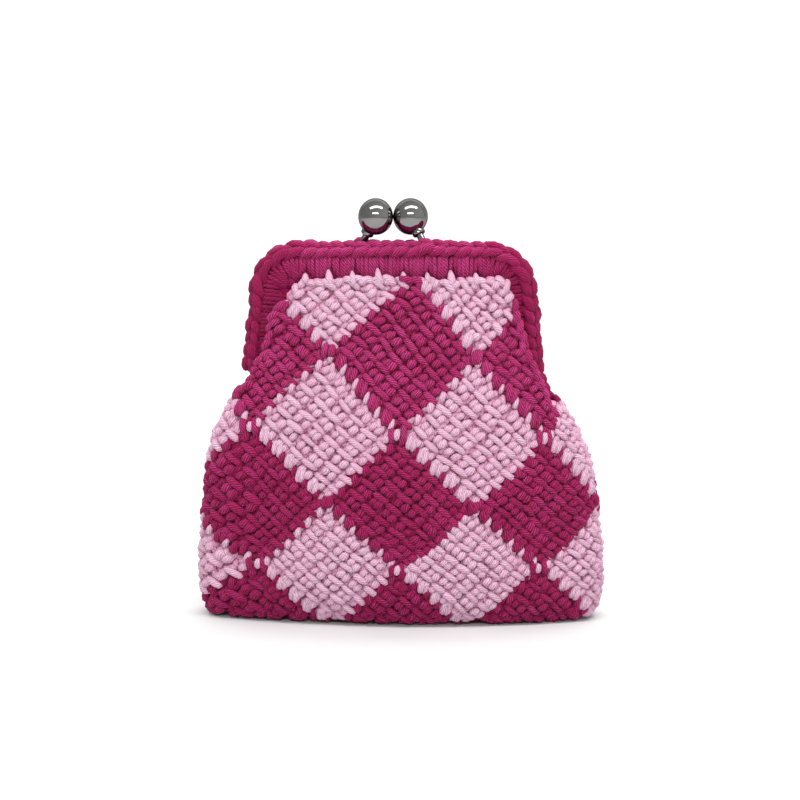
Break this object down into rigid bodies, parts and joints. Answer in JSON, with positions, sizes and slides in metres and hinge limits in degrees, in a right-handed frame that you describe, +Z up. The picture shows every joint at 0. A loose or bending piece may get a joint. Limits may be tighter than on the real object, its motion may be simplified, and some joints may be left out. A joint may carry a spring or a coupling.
{
  "type": "pouch bag",
  "caption": "Soft crocheted pouch bag of leaning two-colour entrelac squares, hung from a yarn-covered metal frame that shuts with a ball clasp.",
  "frame": {"origin": "on the floor, under the middle of the bag", "axes": "+Z up from the base to the balls, -Y towards the front, +X to the right seen from the front"},
  "size_m": [0.1807, 0.0692, 0.1844],
  "materials": {
    "yarn_dark": "deep magenta plied yarn, matt",
    "yarn_light": "pale pink plied yarn, matt",
    "nickel": "polished grey nickel plating"
  },
  "bodies": {
    "root": {"base_panel": "yarn_dark", "base_round": "yarn_dark", "round_2": "yarn_dark", "front_round_4": "yarn_dark", "back_round_4": "yarn_dark", "front_frame_cover": "yarn_dark", "back_frame_cover": "yarn_dark", "round_1": "yarn_light", "round_3": "yarn_light", "front_top_triangles": "yarn_light", "back_top_triangles": "yarn_light", "front_frame": "nickel", "back_frame": "nickel", "left_hinge_pin": "nickel", "right_hinge_pin": "nickel"}
  },
  "joints": []
}
